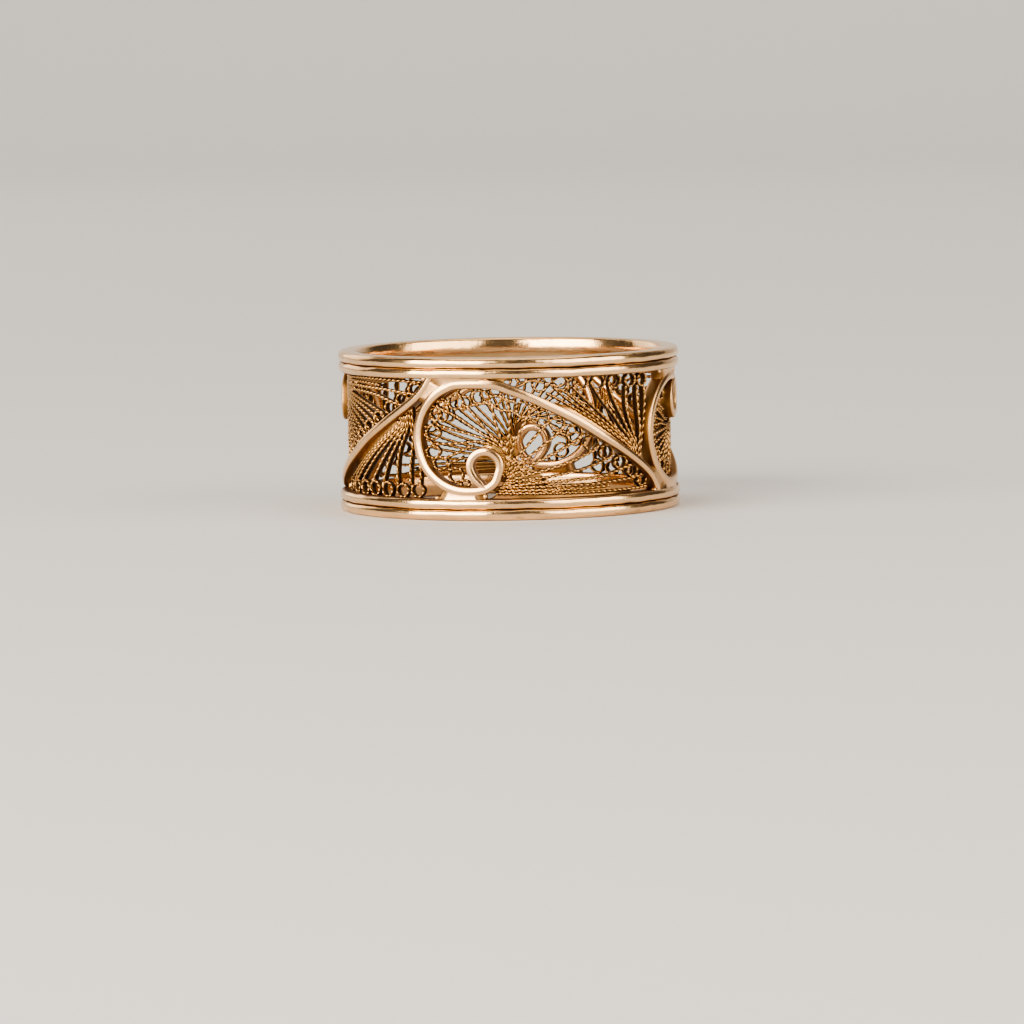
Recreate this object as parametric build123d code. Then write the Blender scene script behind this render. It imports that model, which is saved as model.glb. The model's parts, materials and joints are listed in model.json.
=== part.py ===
from build123d import *
from collections import namedtuple
import math
import os

# Filigree openwork ring, lying on its side, in millimetres
#
# The finger hole runs along Z. The origin is the middle of the lower rim's resting face, and the panel
# whose scroll stands upright faces -Y. Rims, scroll ribbons and pierced fill are soldered into one solid.

# Driving sizes

BORE_RADIUS = 8.75  # the finger hole
BAND_WIDTH = 9.2  # from one resting face to the other
RIM_DEPTH = 1.05  # from the bore to the crown of a rim wire
RIM_WIRE_WIDTH = 0.61  # one half-round wire of a rim, along Z
RIM_WIRES = 2  # half-round wires side by side in each rim
RIM_WIRE_CROWN = 0.26  # how far the round front of a rim wire stands out
RIBBON_WIDTH = 0.44  # scroll ribbon, across its face
RIBBON_BACK_STEP = 0.05  # from the bore out to the ribbon's back edge
RIBBON_FACE_STEP = 0.13  # from the rims' crown down to the ribbon's face
FILL_BACK_STEP = 0.2  # from the bore out to the back of the pierced fill
FILL_THICKNESS = 0.32
FILL_SEAT = 0.15  # how far the fill runs into each rim
WEB_WIDTH = 0.22  # the wire left standing between two gaps
EYE_RADIUS = 0.3  # inside of a small wire eye
UNIT_PAIRS = 2  # an upright scroll and an upside-down one make a pair
RIBBON_STATIONS = 40  # places along a ribbon where it is set square to the band

# Sizes that follow from them

CROWN_RADIUS = BORE_RADIUS + RIM_DEPTH
RIM_HEIGHT = RIM_WIRES * RIM_WIRE_WIDTH
WINDOW_HALF = BAND_WIDTH / 2 - RIM_HEIGHT
RIBBON_BACK = BORE_RADIUS + RIBBON_BACK_STEP
RIBBON_FACE = CROWN_RADIUS - RIBBON_FACE_STEP
FILL_BACK = BORE_RADIUS + FILL_BACK_STEP
FILL_FACE = FILL_BACK + FILL_THICKNESS
FILL_MIDDLE = (FILL_BACK + FILL_FACE) / 2
UNIT_COUNT = 2 * UNIT_PAIRS
UNIT_ANGLE = 360 / UNIT_COUNT
UNIT_ARC = math.radians(UNIT_ANGLE) * FILL_MIDDLE

# The openwork of one unit, charted flat
#
# u is a share of one unit's arc, from the middle of the front panel towards the next unit. v is a share of
# the window's half height, from the band's middle plane towards the upper rim.

Bend = namedtuple("Bend", "u v radius_u radius_v start end")
Point = namedtuple("Point", "u v")
Spoke = namedtuple("Spoke", "outer_u outer_v middle_u middle_v inner_u inner_v")

# The ribbon: its curl, the foot that leaves it, the round bowl and the long sweep. Angles in degrees.
CURL = Bend(u=-0.097, v=-0.45, radius_u=0.058, radius_v=0.25, start=232, end=-55)
FOOT = [Point(-0.100, -0.81), Point(-0.135, -0.89)]
BOWL = Bend(u=-0.163, v=0.02, radius_u=0.203, radius_v=0.95, start=-102, end=-262)
SWEEP = [
    Point(-0.050, 0.94),
    Point(0.033, 0.79),
    Point(0.130, 0.585),
    Point(0.250, 0.29),
    Point(0.360, 0.02),
    Point(0.455, -0.22),
    Point(0.552, -0.47),
    Point(0.640, -0.72),
    Point(0.690, -0.94),
]
BEND_STEP = 24  # degrees between two points taken along a bend

# Twisted wires of the scroll's fan, from the bowl's foot over the top and along the sweep
SCROLL_SPOKES = [
    Spoke(-0.275, -0.31, -0.214, -0.23, -0.179, -0.165),
    Spoke(-0.310, -0.08, -0.234, -0.075, -0.176, -0.065),
    Spoke(-0.290, 0.21, -0.214, 0.14, -0.137, 0.065),
    Spoke(-0.240, 0.43, -0.169, 0.26, -0.098, 0.065),
    Spoke(-0.165, 0.52, -0.120, 0.295, -0.080, 0.075),
    Spoke(-0.070, 0.56, -0.057, 0.295, -0.040, 0.06),
    Spoke(0.000, 0.52, 0.002, 0.22, -0.010, -0.05),
    Spoke(0.083, 0.37, 0.042, 0.12, 0.009, -0.16),
    Spoke(0.138, 0.18, 0.084, -0.06, 0.040, -0.28),
    Spoke(0.220, 0.12, 0.143, -0.12, 0.070, -0.34),
    Spoke(0.292, -0.03, 0.188, -0.25, 0.095, -0.44),
    Spoke(0.365, -0.23, 0.234, -0.44, 0.128, -0.565),
    Spoke(0.440, -0.40, 0.300, -0.55, 0.178, -0.65),
]

# Eyes of the scroll's fan
SCROLL_EYES = [
    Point(-0.211, -0.61),
    Point(-0.318, -0.24),
    Point(-0.315, 0.09),
    Point(-0.214, 0.64),
    Point(0.052, 0.60),
    Point(0.345, -0.10),
]

# Twisted wires of the corner's fan, above the sweep, from its start to the next unit's bowl
CORNER_SPOKES = [
    Spoke(0.160, 0.85, 0.205, 0.69, 0.250, 0.53),
    Spoke(0.225, 0.76, 0.278, 0.61, 0.330, 0.455),
    Spoke(0.283, 0.74, 0.338, 0.54, 0.390, 0.36),
    Spoke(0.351, 0.75, 0.396, 0.515, 0.450, 0.27),
    Spoke(0.432, 0.75, 0.458, 0.47, 0.490, 0.19),
    Spoke(0.513, 0.75, 0.517, 0.44, 0.530, 0.12),
    Spoke(0.582, 0.75, 0.583, 0.44, 0.592, 0.14),
    Spoke(0.667, 0.80, 0.640, 0.50, 0.625, 0.20),
]

# Eyes in a row under the upper rim
CORNER_EYES = [Point(0.205, 0.89), Point(0.292, 0.89), Point(0.374, 0.89), Point(0.455, 0.89)]


def along_bend(bend):
    """Chart points along a bend, from its start angle down to its end angle."""
    steps = math.ceil((bend.start - bend.end) / BEND_STEP)
    points = []
    for step in range(steps + 1):
        turn = math.radians(bend.start + (bend.end - bend.start) * step / steps)
        u = bend.u + bend.radius_u * math.cos(turn)
        v = bend.v + bend.radius_v * math.sin(turn)
        points.append(Point(u, v))
    return points


def wrapped(chart_point, radius):
    """A flat chart point, in millimetres, laid round the band at the given radius."""
    turn = math.radians(chart_point.X / UNIT_ARC * UNIT_ANGLE)
    return Vector(radius * math.sin(turn), -radius * math.cos(turn), chart_point.Y)


def ribbon():
    """One scroll ribbon: a flat wire on edge that follows the band's curve."""
    route = along_bend(CURL) + FOOT + along_bend(BOWL) + SWEEP
    flat = Spline([(p.u * UNIT_ARC, p.v * WINDOW_HALF, 0) for p in route])
    chart = [flat @ (station / RIBBON_STATIONS) for station in range(RIBBON_STATIONS + 1)]
    back = Spline([wrapped(point, RIBBON_BACK) for point in chart])
    face = Spline([wrapped(point, RIBBON_FACE) for point in chart])
    depth = RIBBON_FACE - RIBBON_BACK
    start = Plane(origin=back @ 0, x_dir=(face @ 0) - (back @ 0), z_dir=back % 0)
    section = start * Pos(depth / 2, 0) * Rectangle(depth, RIBBON_WIDTH)
    return sweep(section, path=back, binormal=face)


def rim():
    """The upper rim: half-round wires side by side, flat on the finger's side."""
    top = WINDOW_HALF + RIM_HEIGHT
    shoulder = CROWN_RADIUS - RIM_WIRE_CROWN
    lines = [
        Line((shoulder, top), (BORE_RADIUS, top)),
        Line((BORE_RADIUS, top), (BORE_RADIUS, WINDOW_HALF)),
        Line((BORE_RADIUS, WINDOW_HALF), (shoulder, WINDOW_HALF)),
    ]
    for wire in range(RIM_WIRES):
        low = WINDOW_HALF + wire * RIM_WIRE_WIDTH
        high = low + RIM_WIRE_WIDTH
        lines.append(ThreePointArc((shoulder, low), (CROWN_RADIUS, (low + high) / 2), (shoulder, high)))
    return revolve(make_face(Plane.XZ * Wire(lines)), Axis.Z)


def fill():
    """The thin wall between the rims that the gaps are cut through."""
    height = 2 * (WINDOW_HALF + FILL_SEAT)
    return Cylinder(FILL_FACE, height) - Cylinder(FILL_BACK, height)


def through(u, sketch):
    """A cutter that runs straight out from the axis at chart place u, with the outline of a flat sketch."""
    turn = math.radians(u * UNIT_ANGLE)
    outward = Vector(math.sin(turn), -math.cos(turn), 0)
    across = Vector(math.cos(turn), math.sin(turn), 0)
    inside = Plane(origin=outward * (BORE_RADIUS / 2), x_dir=across, z_dir=outward)
    return extrude(inside * sketch, amount=BORE_RADIUS)


def gap(outline):
    """A cutter for a gap whose corners are chart points."""
    middle = sum(p.u for p in outline) / len(outline)
    corners = []
    for p in outline:
        turn = math.radians((p.u - middle) * UNIT_ANGLE)
        corners.append((FILL_MIDDLE * math.sin(turn), p.v * WINDOW_HALF))
    return through(middle, make_face(Polyline(corners, close=True)))


def eye(centre, half_across, half_up):
    """A cutter for a round or oval eye."""
    return through(centre.u, Pos(0, centre.v * WINDOW_HALF) * Ellipse(half_across, half_up))


def towards(a, b, distance):
    """The chart point that lies the given distance from a on the way to b, at most half way."""
    length = math.hypot((b.u - a.u) * UNIT_ARC, (b.v - a.v) * WINDOW_HALF)
    share = min(distance / length, 0.5)
    return Point(a.u + (b.u - a.u) * share, a.v + (b.v - a.v) * share)


def along_spoke(spoke):
    """The three chart points of a spoke, outer end first."""
    return [
        Point(spoke.outer_u, spoke.outer_v),
        Point(spoke.middle_u, spoke.middle_v),
        Point(spoke.inner_u, spoke.inner_v),
    ]


def gaps_between(spokes):
    """Cutters for the gaps between neighbouring spokes, each half a web clear of both."""
    cutters = []
    for left, right in zip(spokes, spokes[1:]):
        pairs = list(zip(along_spoke(left), along_spoke(right)))
        near = [towards(a, b, WEB_WIDTH / 2) for a, b in pairs]
        far = [towards(b, a, WEB_WIDTH / 2) for a, b in pairs]
        cutters.append(gap(near + far[::-1]))
    return cutters


def unit_gaps():
    """Cutters for everything that is open in one upright unit's fill."""
    cutters = gaps_between(SCROLL_SPOKES) + gaps_between(CORNER_SPOKES)
    cutters += [eye(centre, EYE_RADIUS, EYE_RADIUS) for centre in SCROLL_EYES + CORNER_EYES]
    # the curl's eye is cut out to the middle of the ribbon, which then lines it
    cutters.append(eye(CURL, CURL.radius_u * UNIT_ARC, CURL.radius_v * WINDOW_HALF))
    return cutters


def around(pieces):
    """Copies of one unit's pieces round the band, every second unit upside down."""
    copies = []
    for unit in range(UNIT_COUNT):
        for piece in pieces:
            copy = mirror(piece, about=Plane.XY) if unit % 2 else piece
            copies.append(Rot(0, 0, unit * UNIT_ANGLE) * copy)
    return copies


def filigree_ring():
    """The whole soldered ring, lying on its lower rim."""
    upper = rim()
    pierced = fill() - around(unit_gaps())
    ring = pierced + [upper, mirror(upper, about=Plane.XY)] + around([ribbon()])
    return Pos(0, 0, BAND_WIDTH / 2) * ring


os.makedirs("parts", exist_ok=True)
export_step(filigree_ring(), "parts/filigree_ring.step")
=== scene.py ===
"""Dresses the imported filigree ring: polished rims, scroll ribbons, fans of twisted wire and their solder.

Lengths are metres. A place on the band is charted as u, v: u is a share of one unit's quarter turn, from the
middle of the front panel towards the next unit, and v is a share of the window's half height.
"""

from __future__ import annotations

import json
import logging
import math
import random
from bisect import bisect_right
from collections.abc import Callable, Sequence
from dataclasses import dataclass, field
from enum import Enum
from typing import Any, NamedTuple

import bmesh
import bpy
from mathutils import Matrix, Vector

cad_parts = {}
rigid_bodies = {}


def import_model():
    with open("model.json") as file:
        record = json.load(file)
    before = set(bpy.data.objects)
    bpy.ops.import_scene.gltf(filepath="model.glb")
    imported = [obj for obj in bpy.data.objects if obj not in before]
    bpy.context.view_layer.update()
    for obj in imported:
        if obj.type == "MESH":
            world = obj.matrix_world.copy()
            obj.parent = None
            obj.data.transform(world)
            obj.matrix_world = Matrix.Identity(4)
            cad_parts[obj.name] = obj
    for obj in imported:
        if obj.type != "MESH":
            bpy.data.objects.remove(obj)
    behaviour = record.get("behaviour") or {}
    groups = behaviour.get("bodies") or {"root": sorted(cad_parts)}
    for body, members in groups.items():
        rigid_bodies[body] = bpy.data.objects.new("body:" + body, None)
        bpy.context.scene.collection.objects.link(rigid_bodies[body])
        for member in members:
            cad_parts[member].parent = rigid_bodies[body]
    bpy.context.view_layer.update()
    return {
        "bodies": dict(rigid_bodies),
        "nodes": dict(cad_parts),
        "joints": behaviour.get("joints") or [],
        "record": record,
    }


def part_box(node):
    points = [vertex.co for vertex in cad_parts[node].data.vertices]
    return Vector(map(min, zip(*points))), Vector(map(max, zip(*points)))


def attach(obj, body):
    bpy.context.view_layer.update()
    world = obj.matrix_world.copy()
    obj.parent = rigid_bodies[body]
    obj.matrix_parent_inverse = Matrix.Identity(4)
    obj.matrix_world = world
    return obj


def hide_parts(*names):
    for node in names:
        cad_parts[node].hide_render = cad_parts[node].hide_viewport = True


LOG = logging.getLogger("filigree_ring")
MM = 0.001
NODE = "filigree_ring"
BODY = "root"
BORE_MOUNT = "finger_bore"
PICTURE_SIDE = 1024
WELD = 1e-8
DROP_FINENESS = 2
EYE_CORNERS = 8
BEND_STEP = 15
RADIATING_WIRES = 14

Place = tuple[float, float]


class Bend(NamedTuple):
    """A round stretch of a route, in chart shares, with its angles in degrees."""

    u: float
    v: float
    radius_u: float
    radius_v: float
    start: float
    end: float


class Eye(NamedTuple):
    """A closed loop of twisted wire, in chart shares."""

    u: float
    v: float
    half_u: float
    half_v: float


class Web(NamedTuple):
    """Solder between two lines, with distances in metres: its ends sink, and its middle sags."""

    near: list[Place]
    far: list[Place]
    near_out: float
    far_out: float
    sag: float
    sink: float
    thickness: float


class Bead(NamedTuple):
    """A drop of solder: its place, its distance out from the bore and its half sizes, in metres."""

    u: float
    v: float
    out: float
    half_across: float
    half_up: float
    half_deep: float


class Heap(NamedTuple):
    """A heap of solder grains: its oval's middle and half sizes, in chart shares, and their number."""

    u: float
    v: float
    half_u: float
    half_v: float
    count: int


class Upright(Enum):
    """Which way from the band's middle a rim lies."""

    UP = 1
    DOWN = -1


class Gold(Enum):
    """What a piece's finish is for."""

    RIM = "rim"
    SCROLL = "scroll"
    WIRE = "wire"
    FLOODED = "flooded"


# One unit of the front panel, charted: the ribbon runs from the curl's tip round the curl, down its
# foot, round the bowl and along the sweep to the rim.
CURL = Bend(-0.096, -0.458, 0.0575, 0.25, 216, -22)
CURL_TIP: list[Place] = [(-0.094, -0.825), (-0.107, -0.775), (-0.122, -0.720), (-0.136, -0.655)]
FOOT: list[Place] = [(-0.058, -0.725), (-0.091, -0.832), (-0.130, -0.872)]
BOWL = Bend(-0.163, 0.024, 0.204, 0.902, -98, -262)
SWEEP: list[Place] = [
    (-0.065, 0.910),
    (0.000, 0.820),
    (0.065, 0.710),
    (0.130, 0.583),
    (0.260, 0.293),
    (0.357, 0.036),
    (0.455, -0.207),
    (0.552, -0.462),
    (0.617, -0.651),
    (0.652, -0.790),
    (0.676, -0.930),
    (0.694, -1.060),
]

# The wires inside the bowl and under the sweep. The radiating ones come first, from their outer ends in.
SCROLL_WIRES: list[list[Place]] = [
    [(-0.244, -0.52), (-0.242, -0.41), (-0.214, -0.36), (-0.182, -0.30)],
    [(-0.273, -0.34), (-0.244, -0.30), (-0.211, -0.24), (-0.177, -0.17), (-0.143, -0.11)],
    [
        (-0.341, -0.01), (-0.309, -0.08), (-0.266, -0.08), (-0.221, -0.08), (-0.175, -0.06), (-0.123, -0.05),
        (-0.070, -0.10),
    ],
    [
        (-0.318, 0.38), (-0.300, 0.27), (-0.273, 0.21), (-0.214, 0.14), (-0.156, 0.08), (-0.097, -0.01),
        (-0.045, -0.12),
    ],
    [(-0.266, 0.49), (-0.234, 0.43), (-0.201, 0.35), (-0.162, 0.24), (-0.104, 0.08), (-0.045, -0.06)],
    [(-0.182, 0.58), (-0.159, 0.49), (-0.120, 0.30), (-0.081, 0.10), (-0.055, -0.03), (-0.029, -0.15)],
    [(-0.071, 0.62), (-0.067, 0.52), (-0.056, 0.31), (-0.040, 0.09), (-0.029, -0.09), (-0.018, -0.25)],
    [(-0.010, 0.61), (0.000, 0.46), (0.001, 0.24), (-0.006, 0.01), (-0.011, -0.18), (-0.013, -0.36)],
    [(0.081, 0.46), (0.070, 0.36), (0.042, 0.13), (0.016, -0.12), (-0.001, -0.31), (-0.013, -0.49)],
    [(0.156, 0.29), (0.135, 0.17), (0.091, -0.03), (0.042, -0.26), (0.010, -0.43), (-0.016, -0.61)],
    [(0.227, 0.21), (0.208, 0.12), (0.149, -0.08), (0.081, -0.29), (0.029, -0.47), (-0.013, -0.65)],
    [(0.299, 0.04), (0.276, -0.05), (0.201, -0.23), (0.110, -0.40), (0.039, -0.55), (-0.016, -0.70)],
    [(0.370, -0.15), (0.348, -0.25), (0.260, -0.40), (0.156, -0.53), (0.058, -0.63), (-0.019, -0.74)],
    [(0.442, -0.33), (0.416, -0.41), (0.299, -0.55), (0.182, -0.64), (0.058, -0.70), (-0.026, -0.77)],
    [
        (0.568, -0.51), (0.533, -0.54), (0.487, -0.59), (0.390, -0.69), (0.273, -0.73), (0.130, -0.75),
        (-0.026, -0.80),
    ],
    [
        (0.640, -0.70), (0.604, -0.73), (0.539, -0.76), (0.448, -0.79), (0.325, -0.81), (0.162, -0.82),
        (-0.039, -0.83),
    ],
    [(0.416, -0.86), (0.260, -0.88), (0.097, -0.88), (-0.045, -0.87)],
    [(0.637, -0.91), (0.604, -0.94), (0.325, -0.95), (0.065, -0.93), (-0.055, -0.91)],
]
SCROLL_TIES: list[list[Place]] = [
    [
        (-0.192, 0.50), (-0.156, 0.55), (-0.120, 0.58), (-0.084, 0.59), (-0.058, 0.53), (-0.029, 0.48),
        (0.003, 0.47), (0.027, 0.41), (0.052, 0.33),
    ],
    [(-0.351, 0.20), (-0.325, 0.22), (-0.300, 0.28)],
    [(-0.335, 0.51), (-0.312, 0.55), (-0.286, 0.52), (-0.263, 0.47)],
    [(-0.300, 0.61), (-0.274, 0.63), (-0.253, 0.58), (-0.242, 0.47)],
    [(-0.364, 0.09), (-0.348, 0.06), (-0.335, -0.01)],
    [(-0.039, 0.72), (-0.019, 0.67), (0.006, 0.63), (0.029, 0.59)],
    [(0.010, 0.72), (0.055, 0.67), (0.091, 0.59), (0.105, 0.51)],
]
SCROLL_EYES: list[Eye] = [
    Eye(-0.216, -0.61, 0.029, 0.12),
    Eye(-0.179, -0.75, 0.018, 0.06),
    Eye(-0.281, -0.41, 0.029, 0.11),
    Eye(-0.312, -0.22, 0.030, 0.10),
    Eye(-0.311, 0.10, 0.030, 0.11),
    Eye(-0.299, 0.41, 0.023, 0.11),
    Eye(-0.270, 0.58, 0.022, 0.09),
    Eye(-0.213, 0.61, 0.030, 0.11),
    Eye(-0.172, 0.78, 0.032, 0.08),
    Eye(-0.113, 0.70, 0.032, 0.11),
    Eye(-0.058, 0.78, 0.030, 0.07),
    Eye(-0.055, 0.64, 0.022, 0.08),
    Eye(0.003, 0.70, 0.023, 0.08),
    Eye(0.054, 0.48, 0.027, 0.13),
    Eye(0.097, 0.40, 0.019, 0.12),
    Eye(0.134, 0.33, 0.023, 0.15),
    Eye(0.192, 0.23, 0.030, 0.12),
    Eye(0.263, 0.05, 0.032, 0.14),
    Eye(0.338, -0.13, 0.032, 0.13),
    Eye(0.406, -0.29, 0.031, 0.12),
    Eye(0.479, -0.48, 0.032, 0.11),
    Eye(0.546, -0.64, 0.030, 0.10),
    Eye(0.607, -0.81, 0.029, 0.10),
    Eye(-0.270, 0.38, 0.019, 0.09),
]
# The wires above the sweep, from the eyes along the rim down to the ribbon.
CORNER_WIRES: list[list[Place]] = [
    [
        (0.581, 0.79), (0.581, 0.65), (0.583, 0.44), (0.592, 0.21), (0.598, 0.00), (0.586, -0.24),
        (0.578, -0.48),
    ],
    [
        (0.514, 0.79), (0.512, 0.65), (0.516, 0.43), (0.529, 0.21), (0.551, 0.00), (0.570, -0.18),
        (0.569, -0.45),
    ],
    [
        (0.422, 0.87), (0.430, 0.74), (0.445, 0.59), (0.468, 0.40), (0.497, 0.21), (0.529, 0.00),
        (0.559, -0.18), (0.562, -0.43),
    ],
    [
        (0.335, 0.90), (0.361, 0.74), (0.396, 0.55), (0.438, 0.34), (0.487, 0.10), (0.549, -0.18),
        (0.554, -0.41),
    ],
    [
        (0.257, 0.83), (0.292, 0.69), (0.335, 0.53), (0.390, 0.33), (0.455, 0.09), (0.539, -0.21),
        (0.544, -0.38),
    ],
    [
        (0.205, 0.80), (0.240, 0.70), (0.292, 0.53), (0.357, 0.33), (0.442, 0.07), (0.526, -0.19),
        (0.533, -0.36),
    ],
    [
        (0.166, 0.89), (0.208, 0.71), (0.266, 0.53), (0.338, 0.33), (0.416, 0.10), (0.513, -0.19),
        (0.520, -0.32),
    ],
    [
        (0.149, 0.74), (0.208, 0.61), (0.286, 0.41), (0.364, 0.21), (0.455, -0.04), (0.533, -0.25),
        (0.536, -0.37),
    ],
    [(0.627, 0.77), (0.631, 0.56), (0.624, 0.27), (0.614, 0.03), (0.601, -0.22), (0.590, -0.53)],
]
CORNER_EYES: list[Eye] = [
    Eye(0.120, 0.89, 0.027, 0.12),
    Eye(0.208, 0.90, 0.030, 0.11),
    Eye(0.292, 0.90, 0.031, 0.12),
    Eye(0.372, 0.89, 0.030, 0.12),
    Eye(0.453, 0.89, 0.029, 0.12),
    Eye(0.539, 0.89, 0.030, 0.11),
    Eye(0.614, 0.88, 0.029, 0.11),
]

# Polished solder where the ribbon meets the upper rim, the neighbouring sweep and the lower rim.
POOLS: list[Web] = [
    Web(
        near=[(-0.290, 0.730), (-0.250, 0.845), (-0.190, 0.920), (-0.120, 0.925), (-0.060, 0.905)],
        far=[(-0.318, 1.050), (-0.255, 1.060), (-0.180, 1.060), (-0.115, 1.050), (-0.065, 0.960)],
        near_out=0.905 * MM,
        far_out=0.98 * MM,
        sag=0.04 * MM,
        sink=0.12 * MM,
        thickness=0.6 * MM,
    ),
    Web(
        near=[(-0.332, 0.540), (-0.298, 0.700), (-0.267, 0.800), (-0.227, 0.900)],
        far=[(-0.385, 0.640), (-0.354, 0.780), (-0.328, 0.920), (-0.308, 1.060)],
        near_out=0.87 * MM,
        far_out=0.87 * MM,
        sag=0.03 * MM,
        sink=0.12 * MM,
        thickness=0.6 * MM,
    ),
    Web(
        near=[(-0.265, -0.755), (-0.225, -0.835), (-0.175, -0.878), (-0.125, -0.872), (-0.095, -0.835)],
        far=[(-0.300, -1.050), (-0.240, -1.060), (-0.175, -1.060), (-0.115, -1.060), (-0.080, -1.050)],
        near_out=0.89 * MM,
        far_out=0.97 * MM,
        sag=0.06 * MM,
        sink=0.14 * MM,
        thickness=0.6 * MM,
    ),
]
# Thin solder behind the wires, laid deep, where its dark colour also paints the shade seen through them:
# over the bowl, under the dense rows, round the hub, along the sweep and under the hub.
FILMS: list[Web] = [
    Web(
        near=[(-0.130, 0.900), (-0.070, 0.890), (-0.012, 0.850)],
        far=[(-0.130, 1.040), (-0.070, 1.040), (-0.006, 1.040)],
        near_out=0.62 * MM,
        far_out=0.62 * MM,
        sag=0.04 * MM,
        sink=0.0,
        thickness=0.3 * MM,
    ),
    Web(
        near=[(-0.110, -0.900), (-0.060, -0.800), (0.130, -0.800), (0.325, -0.860), (0.600, -0.960)],
        far=[(-0.110, -1.030), (-0.060, -1.030), (0.130, -1.030), (0.325, -1.030), (0.600, -1.030)],
        near_out=0.36 * MM,
        far_out=0.36 * MM,
        sag=0.02 * MM,
        sink=0.10 * MM,
        thickness=0.10 * MM,
    ),
    Web(
        near=[(-0.118, -0.150), (-0.075, -0.090), (-0.020, -0.160), (0.004, -0.400), (-0.020, -0.680)],
        far=[(-0.118, -0.250), (-0.090, -0.270), (-0.065, -0.370), (-0.055, -0.480), (-0.060, -0.660)],
        near_out=0.40 * MM,
        far_out=0.52 * MM,
        sag=0.02 * MM,
        sink=0.10 * MM,
        thickness=0.16 * MM,
    ),
    Web(
        near=[(0.150, 0.560), (0.260, 0.320), (0.357, 0.060), (0.455, -0.180), (0.555, -0.420)],
        far=[(0.170, 0.600), (0.300, 0.420), (0.415, 0.180), (0.515, -0.060), (0.568, -0.440)],
        near_out=0.46 * MM,
        far_out=0.40 * MM,
        sag=0.02 * MM,
        sink=0.10 * MM,
        thickness=0.14 * MM,
    ),
    Web(
        near=[(-0.045, -0.400), (0.000, -0.340), (0.050, -0.430), (0.100, -0.560), (0.160, -0.690)],
        far=[(-0.045, -0.700), (0.000, -0.760), (0.050, -0.780), (0.100, -0.790), (0.160, -0.800)],
        near_out=0.35 * MM,
        far_out=0.35 * MM,
        sag=0.0,
        sink=0.12 * MM,
        thickness=0.12 * MM,
    ),
]
BEADS: list[Bead] = [
    Bead(-0.096, -0.960, out=0.66 * MM, half_across=0.15 * MM, half_up=0.22 * MM, half_deep=0.24 * MM),
    Bead(0.664, -1.000, out=0.72 * MM, half_across=0.26 * MM, half_up=0.15 * MM, half_deep=0.20 * MM),
    Bead(0.714, 0.985, out=0.70 * MM, half_across=0.20 * MM, half_up=0.15 * MM, half_deep=0.20 * MM),
]
HEAPS: list[Heap] = [
    Heap(0.020, -0.50, 0.060, 0.20, 64),
    Heap(-0.022, -0.20, 0.022, 0.17, 16),
    Heap(0.110, -0.82, 0.140, 0.12, 52),
    Heap(0.510, -0.13, 0.040, 0.22, 22),
]


@dataclass(frozen=True)
class Band:
    """The ring's main sizes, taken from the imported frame.

    Args:
        bore: Radius of the finger hole.
        crown: Radius of the rims' outermost line.
        width: The band's width, along Z.
        rim_height: How much of the width one rim takes.
        units: Scroll units round the band, every second one upside down.
    """

    bore: float
    crown: float
    width: float
    rim_height: float = 1.22 * MM
    units: int = 4

    @classmethod
    def from_frame(cls, frame: dict[str, Any]) -> Band:
        """Reads the sizes from the frame.


        Returns:
            The band.
        """
        low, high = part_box(NODE)
        mounts = {mount["name"]: mount for mount in frame["record"]["mounts"]}
        bore = mounts[BORE_MOUNT]["dims"]["r_mm"] * MM
        return cls(bore=bore, crown=(high.x - low.x) / 2, width=high.z - low.z)

    @property
    def middle(self) -> float:
        """Height of the band's middle plane."""
        return self.width / 2

    @property
    def window_half(self) -> float:
        """Half the height of the openwork between the rims."""
        return self.width / 2 - self.rim_height

    @property
    def unit_turn(self) -> float:
        """The angle of one unit, in radians."""
        return 2 * math.pi / self.units

    @property
    def unit_arc(self) -> float:
        """The length of one unit along the crown."""
        return self.unit_turn * self.crown

    def flat(self, place: Place) -> Vector:
        """A chart place as a flat point, in metres along the crown."""
        return Vector((place[0] * self.unit_arc, place[1] * self.window_half))

    def wrap(self, point: Vector, radius: float, unit: int) -> Vector:
        """Lays a flat point round the band.

        Args:
            point: The flat point, in metres.
            radius: Its distance from the finger hole's axis.
            unit: Which unit it belongs to. Odd units are upside down.

        Returns:
            The point in the row frame.
        """
        turn = point.x / self.crown + unit * self.unit_turn
        rise = -point.y if unit % 2 else point.y
        return Vector((radius * math.sin(turn), -radius * math.cos(turn), self.middle + rise))


class Step(NamedTuple):
    """One place along a walked route: the flat point, the way along it and the share walked."""

    point: Vector
    along: Vector
    share: float


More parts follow.
